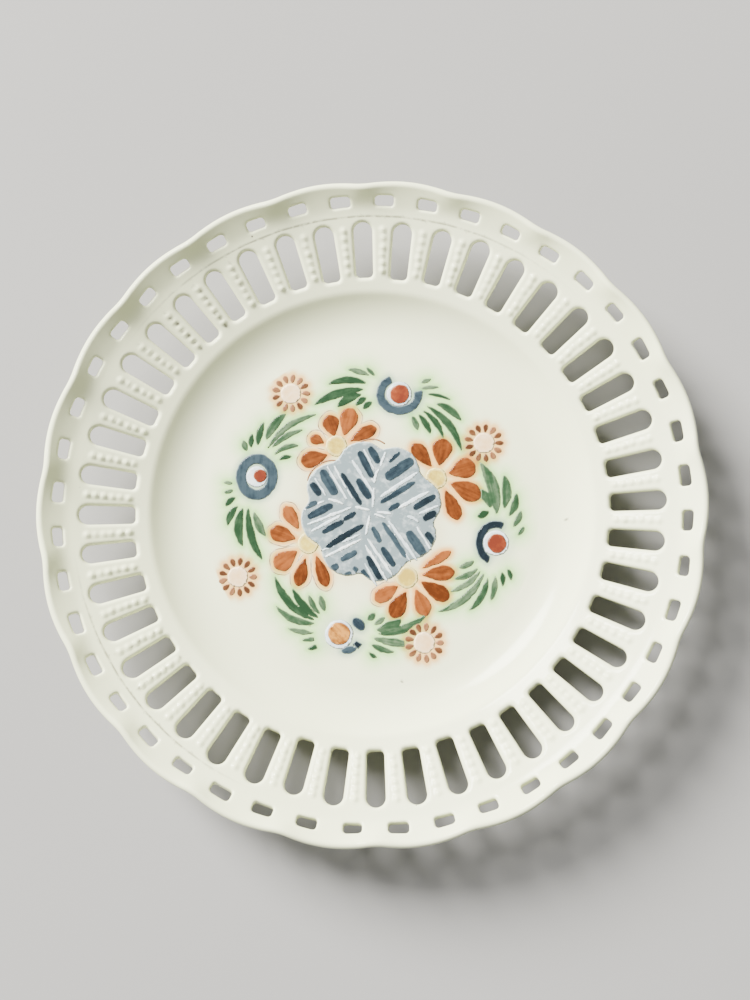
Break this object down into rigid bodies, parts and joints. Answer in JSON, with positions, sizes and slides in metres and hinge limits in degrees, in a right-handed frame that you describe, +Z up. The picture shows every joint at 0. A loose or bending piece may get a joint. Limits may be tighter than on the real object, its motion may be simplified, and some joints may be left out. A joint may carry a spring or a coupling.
{
  "type": "plate",
  "caption": "Round porcelain plate with a pierced ribbon border, scalloped upturned edge, low foot ring and an enamel painted flower wreath on a flat floor.",
  "frame": {"origin": "middle of the foot ring's bearing face, on the plate's axis", "axes": "+Z up along the plate's axis; +X through the middle of a long slot"},
  "size_m": [0.201, 0.1998, 0.0248],
  "materials": {
    "white_glaze": "glossy milk white glaze with a faint green cream cast",
    "foot_body": "bare fired porcelain, fine and matt",
    "pale_blue_enamel": "thin watery pale blue enamel",
    "cobalt_enamel": "slate blue enamel with darker stroke edges",
    "white_enamel": "bluish white enamel",
    "brown_enamel": "thin reddish brown enamel",
    "orange_enamel": "iron orange enamel, deeper where it pooled",
    "yellow_enamel": "straw yellow enamel",
    "green_enamel": "copper green to grey green enamel",
    "red_enamel": "brick red enamel",
    "peach_enamel": "pale peach wash"
  },
  "bodies": {
    "root": {"foot_ring": "foot_body", "well_floor": "white_glaze", "well_wall": "white_glaze", "openwork_bars": "white_glaze", "bar_beads": "white_glaze", "rim_band": "white_glaze", "scalloped_edge": "white_glaze", "flower_ground": "pale_blue_enamel", "flower_cobalt_strokes": "cobalt_enamel", "flower_white_lines": "white_enamel", "flower_outlines": "brown_enamel", "orange_petals": "orange_enamel", "yellow_centres": "yellow_enamel", "leaf_strokes": "green_enamel", "blue_rings": "cobalt_enamel", "ring_grounds": "pale_blue_enamel", "ring_eyes": "red_enamel", "small_rosette_petals": "brown_enamel", "small_rosette_centres": "peach_enamel"}
  },
  "joints": []
}
